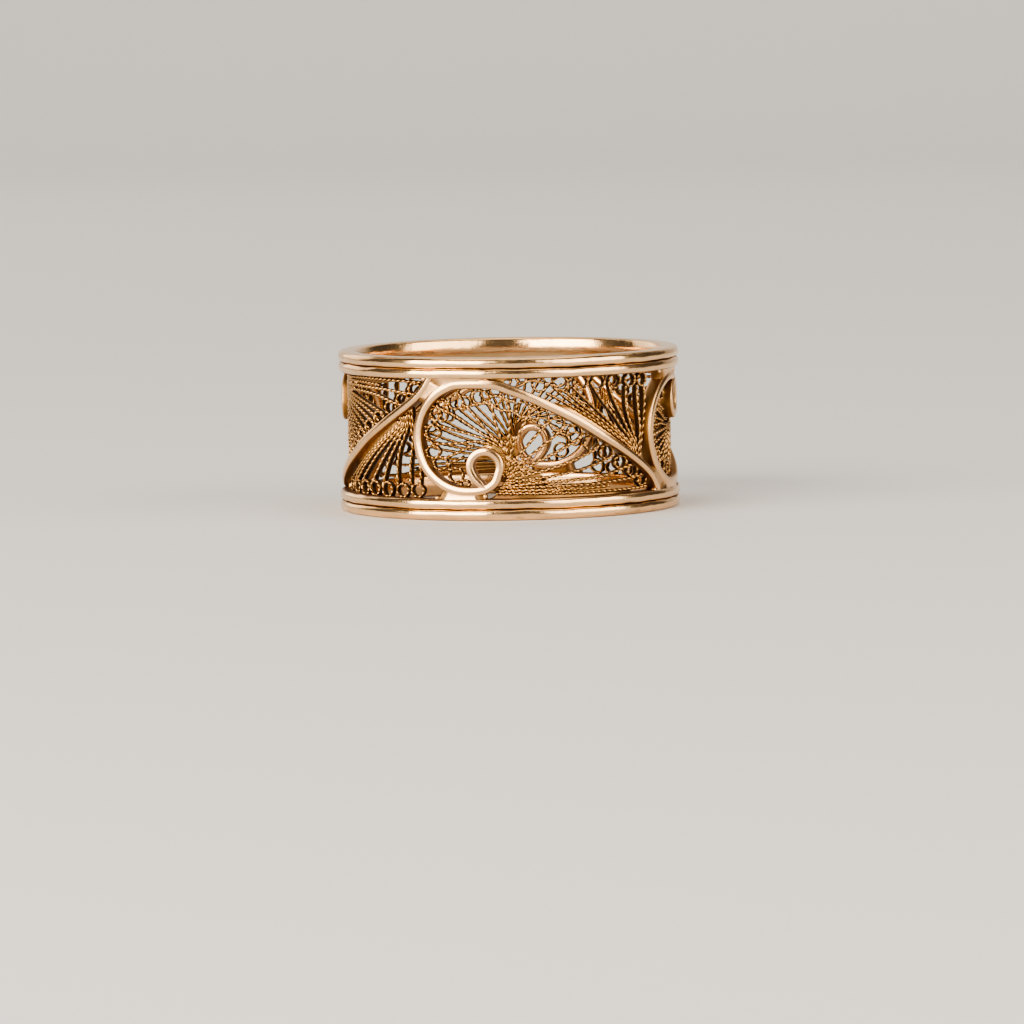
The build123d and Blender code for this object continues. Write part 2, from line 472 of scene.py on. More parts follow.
class Route:
    """A smooth flat line through chart places, walked in even steps."""

    FINENESS = 24

    def __init__(self, band: Band, places: Sequence[Place], closed: bool = False) -> None:
        """Draws the line.

        Args:
            band: The band that the chart belongs to.
            places: The chart places that it passes through.
            closed: Whether it returns to its start.
        """
        knots = [band.flat(place) for place in places]
        if closed:
            knots = [knots[-1], *knots, knots[0], knots[1]]
        else:
            knots = [2 * knots[0] - knots[1], *knots, 2 * knots[-1] - knots[-2]]
        self.closed = closed
        self.points: list[Vector] = []
        for first in range(len(knots) - 3):
            quartet = knots[first : first + 4]
            for part in range(self.FINENESS):
                self.points.append(self._between(quartet, part / self.FINENESS))
        self.points.append(knots[-2])
        self.marks = [0.0]
        for start, end in zip(self.points, self.points[1:]):
            self.marks.append(self.marks[-1] + (end - start).length)

    @staticmethod
    def _between(knots: Sequence[Vector], share: float) -> Vector:
        """The point a share of the way from the second of four knots to the third."""
        before, start, end, after = knots
        square, cube = share**2, share**3
        return (
            2 * start
            + (end - before) * share
            + (2 * before - 5 * start + 4 * end - after) * square
            + (3 * start - before - 3 * end + after) * cube
        ) / 2

    @property
    def length(self) -> float:
        """The line's length, in metres."""
        return self.marks[-1]

    def at(self, share: float) -> Step:
        """The place a share of the way along the line."""
        mark = self.length * share
        piece = min(max(bisect_right(self.marks, mark) - 1, 0), len(self.points) - 2)
        start, end = self.points[piece], self.points[piece + 1]
        point = start.lerp(end, (mark - self.marks[piece]) / (self.marks[piece + 1] - self.marks[piece]))
        return Step(point, (end - start).normalized(), share)

    def walk(self, steps: int) -> list[Step]:
        """Walks the line in even steps.

        Args:
            steps: How many steps to take.

        Returns:
            The places stepped on, the start and the end among them.
        """
        return [self.at(number / steps) for number in range(steps + 1)]


def along_bend(bend: Bend) -> list[Place]:
    """Chart places along a bend.

    Args:
        bend: The bend.

    Returns:
        Its places, from its start angle to its end angle.
    """
    steps = math.ceil(abs(bend.start - bend.end) / BEND_STEP)
    places: list[Place] = []
    for number in range(steps + 1):
        turn = math.radians(bend.start + (bend.end - bend.start) * number / steps)
        places.append((bend.u + bend.radius_u * math.cos(turn), bend.v + bend.radius_v * math.sin(turn)))
    return places


def between(wires: Sequence[list[Place]]) -> list[list[Place]]:
    """Shorter wires midway between neighbouring ones.

    Args:
        wires: The wires' places, in order, each from its outer end to the meeting place.

    Returns:
        The places of the wires between them, from the outer ends inwards.
    """
    found = []
    for one, other in zip(wires, wires[1:]):
        count = min(len(one), len(other)) - 1
        if count > 2:
            pairs = zip(one[:count], other[:count])
            found.append([((a[0] + b[0]) / 2, (a[1] + b[1]) / 2) for a, b in pairs])
    return found


def smoothstep(share: float) -> float:
    """Eases a share from 0 to 1, level at both ends."""
    share = min(max(share, 0.0), 1.0)
    return share * share * (3 - 2 * share)


@dataclass(frozen=True)
class Waver:
    """The slow unevenness of handwork round the ring.

    Args:
        waves: Each wave's count round the ring, its size and where it starts, in radians.
    """

    waves: list[tuple[int, float, float]]

    @classmethod
    def drawn(cls, counts: Sequence[int], size: float, chance: random.Random) -> Waver:
        """A waver whose waves start at chance places and add up to at most a size."""
        return cls([(count, size / len(counts), chance.uniform(0, 2 * math.pi)) for count in counts])

    def at(self, turn: float) -> float:
        """How far it sways at a turn round the ring, in radians."""
        return sum(size * math.sin(count * turn + start) for count, size, start in self.waves)


class Workshop:
    """Turns meshes into named pieces that ride on the ring."""

    def __init__(self) -> None:
        """Starts with no pieces."""
        self.pieces: list[bpy.types.Object] = []

    def piece(self, name: str, mesh: bpy.types.Mesh, finish: bpy.types.Material) -> bpy.types.Object:
        """Puts a mesh on the ring.

        Args:
            name: The piece's name.
            mesh: Its mesh, in the row frame.
            finish: Its material.

        Returns:
            The piece's object.
        """
        mesh.name = name
        mesh.materials.clear()
        mesh.materials.append(finish)
        for polygon in mesh.polygons:
            polygon.use_smooth = True
        made = bpy.data.objects.new(name, mesh)
        bpy.context.scene.collection.objects.link(made)
        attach(made, BODY)
        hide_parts(NODE)
        self.pieces.append(made)
        triangles = sum(len(polygon.vertices) - 2 for polygon in mesh.polygons)
        LOG.info("%s: %d triangles", name, triangles)
        return made


def finished(work: bmesh.types.BMesh, name: str) -> bpy.types.Mesh:
    """Turns a mesh in the making into a mesh.

    Args:
        work: The mesh in the making, which is freed.
        name: The mesh's name.

    Returns:
        The mesh.
    """
    mesh = bpy.data.meshes.new(name)
    work.to_mesh(mesh)
    work.free()
    return mesh


def add_drop(
    work: bmesh.types.BMesh,
    band: Band,
    place: Place,
    out: float,
    halves: tuple[float, float, float],
    unit: int,
) -> None:
    """Adds a drop of solder to a mesh in the making.

    Args:
        work: The mesh in the making.
        band: The band it lies in.
        place: Its chart place.
        out: Its middle's distance out from the bore.
        halves: Half its size across, in and out, and up.
        unit: Which unit it belongs to.
    """
    centre = band.wrap(band.flat(place), band.bore + out, unit)
    outward = Vector((centre.x, centre.y, 0)).normalized()
    turned = Matrix((Vector((outward.y, -outward.x, 0)), outward, Vector((0, 0, 1)))).transposed().to_4x4()
    bmesh.ops.create_icosphere(
        work,
        subdivisions=DROP_FINENESS,
        radius=1,
        matrix=Matrix.Translation(centre) @ turned @ Matrix.Diagonal((*halves, 1)),
    )


def tube_sheet(rows: int, sides: int, shape: Callable[[float, float], Vector]) -> bpy.types.Mesh:
    """A closed tube shaped from a grid.

    Args:
        rows: Steps along the tube.
        sides: Steps round it.
        shape: Gives the point for a share along and a share round.

    Returns:
        The mesh, with both ends capped.
    """
    work = bmesh.new()
    bmesh.ops.create_grid(work, x_segments=rows, y_segments=sides, size=1)
    for corner in work.verts:
        along = round((corner.co.x + 1) / 2 * rows) / rows
        about = round((corner.co.y + 1) / 2 * sides) % sides / sides
        corner.co = shape(along, about)
    bmesh.ops.remove_doubles(work, verts=work.verts, dist=WELD)
    bmesh.ops.holes_fill(work, edges=[edge for edge in work.edges if edge.is_boundary], sides=0)
    bmesh.ops.recalc_face_normals(work, faces=work.faces)
    return finished(work, "tube")


def add_slab(
    work: bmesh.types.BMesh, rows: int, columns: int, shape: Callable[[float, float], Vector], depth: float
) -> None:
    """Adds a closed sheet to a mesh in the making.

    Args:
        work: The mesh in the making.
        rows: Steps along the sheet.
        columns: Steps across it.
        shape: Gives the point of its face for a share along and a share across.
        depth: From its face in to its back.
    """
    grid = bmesh.ops.create_grid(work, x_segments=rows, y_segments=columns, size=1)
    faces = {face for corner in grid["verts"] for face in corner.link_faces}
    for corner in grid["verts"]:
        corner.co = shape((corner.co.x + 1) / 2, (corner.co.y + 1) / 2)
    grown = bmesh.ops.extrude_face_region(work, geom=list(faces))
    back = [item for item in grown["geom"] if isinstance(item, bmesh.types.BMVert)]
    for corner in back:
        reach = Vector((corner.co.x, corner.co.y, 0)).length
        corner.co.x *= (reach - depth) / reach
        corner.co.y *= (reach - depth) / reach
    shell = {face for corner in grid["verts"] + back for face in corner.link_faces}
    bmesh.ops.recalc_face_normals(work, faces=list(shell))


@dataclass
class Rim:
    """One rim: half-round wires side by side, flat on the finger's side.

    Args:
        band: The band it closes.
        stands: Whether it is the upper rim or the lower one.
        wires: Half-round wires in the rim.
        crown_rise: How far a wire's round front stands out.
        fullness: Power of the sine that rounds a wire's front. The lower it is, the fuller the wire.
        edge: Radius of the softened edges at the bore.
        arc_steps: Steps round one wire's front.
        end_steps: Steps across its end face.
        turns: Steps round the ring.
        end_round: How far its end face falls away towards its edges.
        groove_sway: How far the groove between the wires wanders.
        groove_waves: Counts round the ring of the waves in that.
        face_sway: How far the wires' faces are rubbed down.
        face_waves: Counts round the ring of the waves in that.
    """

    band: Band
    stands: Upright
    wires: int = 2
    crown_rise: float = 0.27 * MM
    fullness: float = 0.72
    edge: float = 0.07 * MM
    arc_steps: int = 12
    end_steps: int = 5
    turns: int = 288
    end_round: float = 0.06 * MM
    groove_sway: float = 0.04 * MM
    groove_waves: tuple[int, ...] = (4, 7, 13, 22, 37)
    face_sway: float = 0.03 * MM
    face_waves: tuple[int, ...] = (3, 8, 17, 29, 41)

    def profile(self) -> list[Vector]:
        """The rim's outline in the XZ plane, as a closed loop of points."""
        band = self.band
        height = band.rim_height
        shoulder = band.crown - self.crown_rise
        wire = height / self.wires
        loop = [(band.bore, height - self.edge), (band.bore, self.edge), (band.bore + self.edge, 0.0)]
        for number in range(self.wires):
            for step in range(self.arc_steps + 1):
                turn = math.pi * step / self.arc_steps
                bulge = math.sin(turn) ** self.fullness
                rise = wire * (number + (1 - math.cos(turn)) / 2)
                loop.append((shoulder + self.crown_rise * bulge, rise))
        end = shoulder - band.bore - self.edge
        for step in reversed(range(self.end_steps)):
            loop.append((band.bore + self.edge + end * step / self.end_steps, height))
        outline = []
        for radius, rise in loop:
            off_middle = (2 * radius - band.bore - band.crown) / (band.crown - band.bore)
            rise *= 1 - self.end_round / height * off_middle**2
            level = self.stands.value * (band.window_half + rise)
            outline.append(Vector((radius, 0, band.middle + level)))
        return outline

    def mesh(self, chance: random.Random) -> bpy.types.Mesh:
        """Spins the outline round the finger hole's axis.

        Args:
            chance: Where its small unevenness comes from.

        Returns:
            The rim's mesh.
        """
        work = bmesh.new()
        corners = [work.verts.new(point) for point in self.profile()]
        edges = [work.edges.new(pair) for pair in zip(corners, corners[1:] + corners[:1])]
        bmesh.ops.spin(
            work,
            geom=corners + edges,
            cent=(0, 0, 0),
            axis=(0, 0, 1),
            angle=2 * math.pi,
            steps=self.turns,
            use_merge=True,
        )
        bmesh.ops.remove_doubles(work, verts=work.verts, dist=WELD)
        bmesh.ops.recalc_face_normals(work, faces=work.faces)
        self._work_by_hand(work, chance)
        return finished(work, "rim")

    def _work_by_hand(self, work: bmesh.types.BMesh, chance: random.Random) -> None:
        """Makes the wires' faces and the groove between them a little uneven, within the rim's own size."""
        band = self.band
        groove = Waver.drawn(self.groove_waves, self.groove_sway, chance)
        face = Waver.drawn(self.face_waves, self.face_sway, chance)
        for corner in work.verts:
            turn = math.atan2(corner.co.x, -corner.co.y)
            radius = Vector((corner.co.x, corner.co.y)).length
            proud = (radius - band.bore) / (band.crown - band.bore)
            level = (abs(corner.co.z - band.middle) - band.window_half) / band.rim_height
            corner.co.z += groove.at(turn) * proud * math.sin(math.pi * min(max(level, 0), 1))
            shrink = 1 - (face.at(turn) + self.face_sway) / 2 * proud**2 / radius
            corner.co.x *= shrink
            corner.co.y *= shrink


@dataclass
class ScrollRibbon:
    """A flat wire on edge, bent into a curl, a bowl and a long sweep.

    Args:
        band: The band it lies in.
        width: Across its face.
        back_step: From the bore out to its back.
        face_step: From the rims' crown down to its face.
        dome: How far the middle of its face stands out.
        corner: Radius of its long edges.
        tip: Length over which the curl's free end narrows.
        tip_width: How wide the very end is, as a share.
        spread: How much wider it is hammered round the bowl, as a share.
        rows: Steps along it.
        corner_steps: Steps round a softened edge.
        face_steps: Steps across its face.
    """

    band: Band
    width: float = 0.45 * MM
    back_step: float = 0.05 * MM
    face_step: float = 0.13 * MM
    dome: float = 0.035 * MM
    corner: float = 0.09 * MM
    tip: float = 0.6 * MM
    tip_width: float = 0.5
    spread: float = 0.17
    rows: int = 420
    corner_steps: int = 4
    face_steps: int = 4

    def section(self) -> list[Place]:
        """The ribbon's outline across: pairs of across and radius, anticlockwise."""
        half = self.width / 2
        back = self.band.bore + self.back_step
        face = self.band.crown - self.face_step
        outline = [(half - self.corner, back), (half, back + self.corner)]
        for side in (1, -1):
            turns = [step / self.corner_steps for step in range(self.corner_steps + 1)]
            for turn in turns if side == 1 else turns[::-1]:
                across = half - self.corner + self.corner * math.cos(turn * math.pi / 2)
                out = face - self.dome - self.corner + self.corner * math.sin(turn * math.pi / 2)
                outline.append((side * across, out))
            if side == 1:
                for step in range(1, self.face_steps):
                    share = 1 - 2 * step / self.face_steps
                    rise = self.dome * (1 - share * share)
                    outline.append(((half - self.corner) * share, face - self.dome + rise))
        outline += [(-half, back + self.corner), (-half + self.corner, back)]
        return outline

    def mesh(self, unit: int) -> bpy.types.Mesh:
        """Lays the section along the route.

        Args:
            unit: Which unit the ribbon belongs to.

        Returns:
            The ribbon's mesh.
        """
        route = Route(self.band, CURL_TIP + along_bend(CURL) + FOOT + along_bend(BOWL) + SWEEP)
        steps = route.walk(self.rows)
        section = self.section()

        def shape(along: float, about: float) -> Vector:
            """The point of the ribbon a share along it and a share round its section."""
            step = steps[round(along * self.rows)]
            across, out = section[round(about * len(section))]
            widened = smoothstep(step.share * route.length / self.tip)
            narrow = self.tip_width + (1 - self.tip_width) * widened
            hammered = 1 + self.spread * math.sin(math.pi * step.share) ** 2
            side = Vector((-step.along.y, step.along.x))
            return self.band.wrap(step.point + side * across * narrow * hammered, out, unit)

        return tube_sheet(self.rows, len(section), shape)


@dataclass
class TwistedWire:
    """Two fine strands twisted together and rolled a little flat, set on edge.

    Args:
        strand: Radius of one strand.
        across: How far a strand swings to the sides.
        deep: How far a strand swings in and out.
        pitch: Length of one full twist.
        step: Length between two points of a strand.
        radius_step: From the bore out to the wire's middle.
        core_width: Across the rolled middle, on which the strands ride.
        core_face: From the bore out to the core's face.
        core_depth: From the core's face in to its back.
        core_step: Length between two rows of the core.
    """

    strand: float = 0.071 * MM
    across: float = 0.030 * MM
    deep: float = 0.100 * MM
    pitch: float = 0.82 * MM
    step: float = 0.058 * MM
    radius_step: float = 0.37 * MM
    core_width: float = 0.09 * MM
    core_face: float = 0.42 * MM
    core_depth: float = 0.30 * MM
    core_step: float = 0.15 * MM

    @classmethod
    def fine(cls) -> TwistedWire:
        """The finer wire of the eyes."""
        return cls(
            strand=0.058 * MM,
            across=0.024 * MM,
            pitch=0.64 * MM,
            core_width=0.07 * MM,
            core_step=0.12 * MM,
        )

    def strands(self, band: Band, route: Route, unit: int, turn: float, lift: float) -> list[list[Vector]]:
        """The lines of the two strands along a route.

        Args:
            band: The band it lies in.
            route: The wire's flat route.
            unit: Which unit it belongs to.
            turn: Where in its twist it starts, in radians.
            lift: How far it lies out of its usual depth.

        Returns:
            Two lists of points. A closed route's lists don't repeat their first point.
        """
        twists = route.length / self.pitch
        if route.closed:
            twists = max(2, round(twists * 2)) / 2
        steps = route.walk(max(3, round(route.length / self.step)))
        if route.closed:
            steps = steps[:-1]
        middle = band.bore + self.radius_step + lift
        found = []
        for half in (0, 1):
            line = []
            for step in steps:
                angle = turn + 2 * math.pi * twists * step.share + math.pi * half
                side = Vector((-step.along.y, step.along.x)) * self.across * math.cos(angle)
                line.append(band.wrap(step.point + side, middle + self.deep * math.sin(angle), unit))
            found.append(line)
        return found

    def add_core(self, work: bmesh.types.BMesh, band: Band, route: Route, unit: int) -> None:
        """Adds the wire's rolled middle, a strip on edge, to a mesh in the making; lying in the finish's
        dark depth, it also paints the shade behind the strands.

        Args:
            work: The mesh in the making.
            band: The band it lies in.
            route: The wire's flat route.
            unit: Which unit it belongs to.
        """

        def shape(along: float, across: float) -> Vector:
            """The point of the core's face a share along and a share across it."""
            step = route.at(min(max(along, 0.0), 1.0))
            side = Vector((-step.along.y, step.along.x)) * self.core_width * (across - 0.5)
            return band.wrap(step.point + side, band.bore + self.core_face, unit)

        add_slab(work, max(3, round(route.length / self.core_step)), 1, shape, self.core_depth)


def wire_mesh(lines: Sequence[tuple[list[Vector], bool]], radius: float) -> bpy.types.Mesh:
    """Round wires along lines.

    Args:
        lines: Each line's points, and whether it closes on itself.
        radius: The wires' radius.

    Returns:
        One mesh of all the wires.
    """
    curve = bpy.data.curves.new("wires", "CURVE")
    curve.dimensions = "3D"
    curve.bevel_depth = radius
    curve.bevel_resolution = 2
    curve.use_fill_caps = True
    for points, closed in lines:
        spline = curve.splines.new("POLY")
        spline.points.add(len(points) - 1)
        spline.points.foreach_set("co", [value for point in points for value in (*point, 1.0)])
        spline.use_cyclic_u = closed
    holder = bpy.data.objects.new("wires", curve)
    mesh = bpy.data.meshes.new_from_object(holder)
    bpy.data.objects.remove(holder)
    bpy.data.curves.remove(curve)
    return mesh


@dataclass
class WireFan:
    """A fan of twisted wires with eyes at their outer ends.

    Args:
        band: The band it lies in.
        wires: The routes of its wires.
        eyes: Its eyes.
        wire: The wire it is made of.
        eye_wire: The finer wire that its eyes are bent from.
        loose_u: How far along the ring a wire may lie from its place, in chart shares.
        loose_v: How far up or down it may.
        lift: How far a wire may lie out of its usual depth.
        grain: Radius of the solder grains where wires and eyes meet.
        grain_range: The smallest and largest grain, as shares of that.
        grain_lift: How far in and out the grains may lie from the wires.
        grain_sides: Where they are on an eye, in shares of its half sizes.
    """

    band: Band
    wires: list[list[Place]]
    eyes: list[Eye]
    wire: TwistedWire = field(default_factory=TwistedWire)
    eye_wire: TwistedWire = field(default_factory=TwistedWire.fine)
    loose_u: float = 0.0016
    loose_v: float = 0.0064
    lift: float = 0.02 * MM
    grain: float = 0.11 * MM
    grain_range: Place = (0.75, 1.15)
    grain_lift: Place = (-0.02 * MM, 0.04 * MM)
    grain_sides: tuple[Place, ...] = ((-1, -0.2), (1, -0.2), (0, -1))

    def mesh(self, unit: int, chance: random.Random) -> bpy.types.Mesh:
        """Bends the fan's wires.

        Args:
            unit: Which unit the fan belongs to.
            chance: Where its small irregularities come from.

        Returns:
            The fan's mesh.
        """
        work = bmesh.new()
        wires = [Route(self.band, self._hand_set(places, chance)) for places in self.wires]
        eyes = [Route(self.band, self._hand_set(self._loop(eye), chance), closed=True) for eye in self.eyes]
        for wire, routes in ((self.wire, wires), (self.eye_wire, eyes)):
            lines = []
            for route in routes:
                lines += [(line, route.closed) for line in self._twist(wire, route, unit, chance)]
            strands = wire_mesh(lines, wire.strand)
            work.from_mesh(strands)
            bpy.data.meshes.remove(strands)
            bmesh.ops.remove_doubles(work, verts=work.verts, dist=WELD)
            for route in routes:
                wire.add_core(work, self.band, route, unit)
        self._set_grains(work, unit, chance)
        return finished(work, "fan")

    def _set_grains(self, work: bmesh.types.BMesh, unit: int, chance: random.Random) -> None:
        """Adds a grain of solder at each side of each eye and under it."""
        for eye in self.eyes:
            for side_u, side_v in self.grain_sides:
                radius = self.grain * chance.uniform(*self.grain_range)
                place = (eye.u + side_u * eye.half_u, eye.v + side_v * eye.half_v)
                out = self.wire.radius_step + chance.uniform(*self.grain_lift)
                add_drop(work, self.band, place, out, (radius, radius, radius), unit)

    def _twist(
        self, wire: TwistedWire, route: Route, unit: int, chance: random.Random
    ) -> list[list[Vector]]:
        """The strands of one wire, started at a chance place in its twist."""
        turn = chance.uniform(0, 2 * math.pi)
        lift = chance.uniform(-self.lift, self.lift)
        return wire.strands(self.band, route, unit, turn, lift)

    def _hand_set(self, places: list[Place], chance: random.Random) -> list[Place]:
        """The places, each a little off as set by hand."""
        found = []
        for u, v in places:
            off_u = chance.uniform(-self.loose_u, self.loose_u)
            off_v = chance.uniform(-self.loose_v, self.loose_v)
            found.append((u + off_u, v + off_v))
        return found

    @staticmethod
    def _loop(eye: Eye) -> list[Place]:
        """Chart places round an eye."""
        corners = []
        for number in range(EYE_CORNERS):
            turn = 2 * math.pi * number / EYE_CORNERS
            corners.append((eye.u + eye.half_u * math.cos(turn), eye.v + eye.half_v * math.sin(turn)))
        return corners


@dataclass
class Solder:
    """Solder in one unit: pools between polished wires, thin films behind the fans, partly painted shade,
    and drops.

    Args:
        band: The band it lies in.
        rows: Steps along a web.
        columns: Steps across a web.
        pinch: How far a web's ends are drawn in at the middle, as a share of its half length.
        taper: The share of a web's length over which its ends sink.
        grain: Radius of a common grain in a heap.
        grain_range: The smallest and largest grain, as shares of that.
        grain_out: How far out from the bore the grains lie.
    """

    band: Band
    rows: int = 40
    columns: int = 8
    pinch: float = 0.16
    taper: float = 0.20
    grain: float = 0.085 * MM
    grain_range: Place = (0.7, 1.15)
    grain_out: Place = (0.40 * MM, 0.47 * MM)

    def web_mesh(self, webs: Sequence[Web], unit: int) -> bpy.types.Mesh:
        """Closed sheets between pairs of lines.

        Args:
            webs: The webs.
            unit: Which unit they belong to.

        Returns:
            One mesh of all of them.
        """
        work = bmesh.new()
        for web in webs:
            self._lay_web(work, web, unit)
        return finished(work, "webs")

    def _lay_web(self, work: bmesh.types.BMesh, web: Web, unit: int) -> None:
        """Adds one web to a mesh in the making."""
        near, far = Route(self.band, web.near), Route(self.band, web.far)

        def shape(along: float, across: float) -> Vector:
            """The point of the web's face a share along and a share across it."""
            across = min(max(across, 0.0), 1.0)
            hollow = 4 * across * (1 - across)
            share = 0.5 + (along - 0.5) * (1 - self.pinch * hollow)
            out = web.near_out + (web.far_out - web.near_out) * across - web.sag * hollow
            out -= web.sink * (1 - smoothstep((0.5 - abs(along - 0.5)) / self.taper))
            point = near.at(share).point.lerp(far.at(share).point, across)
            return self.band.wrap(point, self.band.bore + out, unit)

        add_slab(work, self.rows, self.columns, shape, web.thickness)

    def grain_mesh(self, heaps: Sequence[Heap], unit: int, chance: random.Random) -> bpy.types.Mesh:
        """Heaps of small grains.

        Args:
            heaps: The heaps.
            unit: Which unit they belong to.
            chance: Where each grain's place and size come from.

        Returns:
            One mesh of all of them.
        """
        work = bmesh.new()
        for heap in heaps:
            for _ in range(heap.count):
                turn, reach = chance.uniform(0, 2 * math.pi), math.sqrt(chance.random())
                off_u = heap.half_u * reach * math.cos(turn)
                off_v = heap.half_v * reach * math.sin(turn)
                radius = self.grain * chance.uniform(*self.grain_range)
                out = chance.uniform(*self.grain_out)
                place = (heap.u + off_u, heap.v + off_v)
                add_drop(work, self.band, place, out, (radius, radius, radius), unit)
        return finished(work, "grains")

    def bead_mesh(self, beads: Sequence[Bead], unit: int) -> bpy.types.Mesh:
        """Drops of solder.

        Args:
            beads: The drops.
            unit: Which unit they belong to.

        Returns:
            One mesh of all of them.
        """
        work = bmesh.new()
        for bead in beads:
            halves = (bead.half_across, bead.half_deep, bead.half_up)
            add_drop(work, self.band, (bead.u, bead.v), bead.out, halves, unit)
        return finished(work, "beads")


class NodeSheet:
    """Adds and joins nodes in one tree."""

    def __init__(self, tree: bpy.types.NodeTree) -> None:
        """Starts on a tree."""
        self.tree = tree

    def add(self, kind: str, **settings: Any) -> bpy.types.Node:
        """Adds a node and sets its properties."""
        node = self.tree.nodes.new(kind)
        for name, value in settings.items():
            setattr(node, name, value)
        return node

    def join(self, out: bpy.types.NodeSocket, into: bpy.types.NodeSocket) -> None:
        """Links one socket to another."""
        self.tree.links.new(out, into)


DEPTH_NAMES = ("Bore Bright", "Bore Dark", "Face Dark", "Face Bright")

# How the tarnish and painted shade of the depth, and the wear, lie: scales are per metre, depths in metres.
EDGE_WANDER_SCALE = 620.0
EDGE_WANDER_DETAIL = 4.0
END_DARK = 0.22 * MM
END_BRIGHT = 0.09 * MM
CLOUD_DETAIL = 3.0
CLOUD_WEIGHT = 12.0
SCRATCH_DETAIL = 2.0
SCRATCH_STRETCH = (0.25, 0.25, 1.6)
PATCH_SPAN = (0.35, 0.7)
PATCH_DIM = 0.86
HAZE = 0.12
BUMP_STRENGTH = 0.6


def tarnish_and_shade_group(band: Band) -> bpy.types.NodeTree:
    """A mask: 1 on proud faces, the bore and the band's ends; 0 in the openwork's depth, for tarnish and
    painted shade.

    Args:
        band: The band.

    Returns:
        The node group. Its inputs are distances from the axis, and how far its edge wanders.
    """
    tree = bpy.data.node_groups.new("tarnish_and_shade_mask", "ShaderNodeTree")
    sheet = NodeSheet(tree)
    for name in (*DEPTH_NAMES, "Unevenness"):
        made = tree.interface.new_socket(name, in_out="INPUT", socket_type="NodeSocketFloat")
        made.default_value = 0.0 if name == "Unevenness" else band.bore
    tree.interface.new_socket("Mask", in_out="OUTPUT", socket_type="NodeSocketFloat")
    inputs, outputs = sheet.add("NodeGroupInput"), sheet.add("NodeGroupOutput")
    place = sheet.add("ShaderNodeTexCoord")
    flatten = sheet.add("ShaderNodeVectorMath", operation="MULTIPLY")
    flatten.inputs[1].default_value = (1, 1, 0)
    reach = sheet.add("ShaderNodeVectorMath", operation="LENGTH")
    sheet.join(place.outputs["Object"], flatten.inputs[0])
    sheet.join(flatten.outputs["Vector"], reach.inputs[0])
    # Noise makes the edge of the tarnish and painted shade wander.
    edge_wander = sheet.add("ShaderNodeTexNoise")
    edge_wander.inputs["Scale"].default_value = EDGE_WANDER_SCALE
    edge_wander.inputs["Detail"].default_value = EDGE_WANDER_DETAIL
    sheet.join(place.outputs["Object"], edge_wander.inputs["Vector"])
    lifted = sheet.add("ShaderNodeMath", operation="MULTIPLY_ADD")
    sheet.join(edge_wander.outputs["Fac"], lifted.inputs[0])
    sheet.join(inputs.outputs["Unevenness"], lifted.inputs[1])
    sheet.join(reach.outputs["Value"], lifted.inputs[2])
    either = sheet.add("ShaderNodeMath", operation="MAXIMUM")
    for slot, (dark, bright) in enumerate((("Bore Dark", "Bore Bright"), ("Face Dark", "Face Bright"))):
        side = sheet.add("ShaderNodeMapRange", interpolation_type="SMOOTHSTEP")
        sheet.join(lifted.outputs["Value"], side.inputs["Value"])
        sheet.join(inputs.outputs[dark], side.inputs["From Min"])
        sheet.join(inputs.outputs[bright], side.inputs["From Max"])
        sheet.join(side.outputs["Result"], either.inputs[slot])
    level = sheet.add("ShaderNodeVectorMath", operation="DOT_PRODUCT")
    level.inputs[1].default_value = (0, 0, 1)
    sheet.join(place.outputs["Object"], level.inputs[0])
    above = sheet.add("ShaderNodeMath", operation="SUBTRACT")
    above.inputs[1].default_value = band.middle
    sheet.join(level.outputs["Value"], above.inputs[0])
    height = sheet.add("ShaderNodeMath", operation="ABSOLUTE")
    sheet.join(above.outputs["Value"], height.inputs[0])
    ends = sheet.add("ShaderNodeMapRange", interpolation_type="SMOOTHSTEP")
    ends.inputs["From Min"].default_value = band.middle - END_DARK
    ends.inputs["From Max"].default_value = band.middle - END_BRIGHT
    sheet.join(height.outputs["Value"], ends.inputs["Value"])
    reached = sheet.add("ShaderNodeMath", operation="MAXIMUM")
    sheet.join(either.outputs["Value"], reached.inputs[0])
    sheet.join(ends.outputs["Result"], reached.inputs[1])
    sheet.join(reached.outputs["Value"], outputs.inputs["Mask"])
    return tree


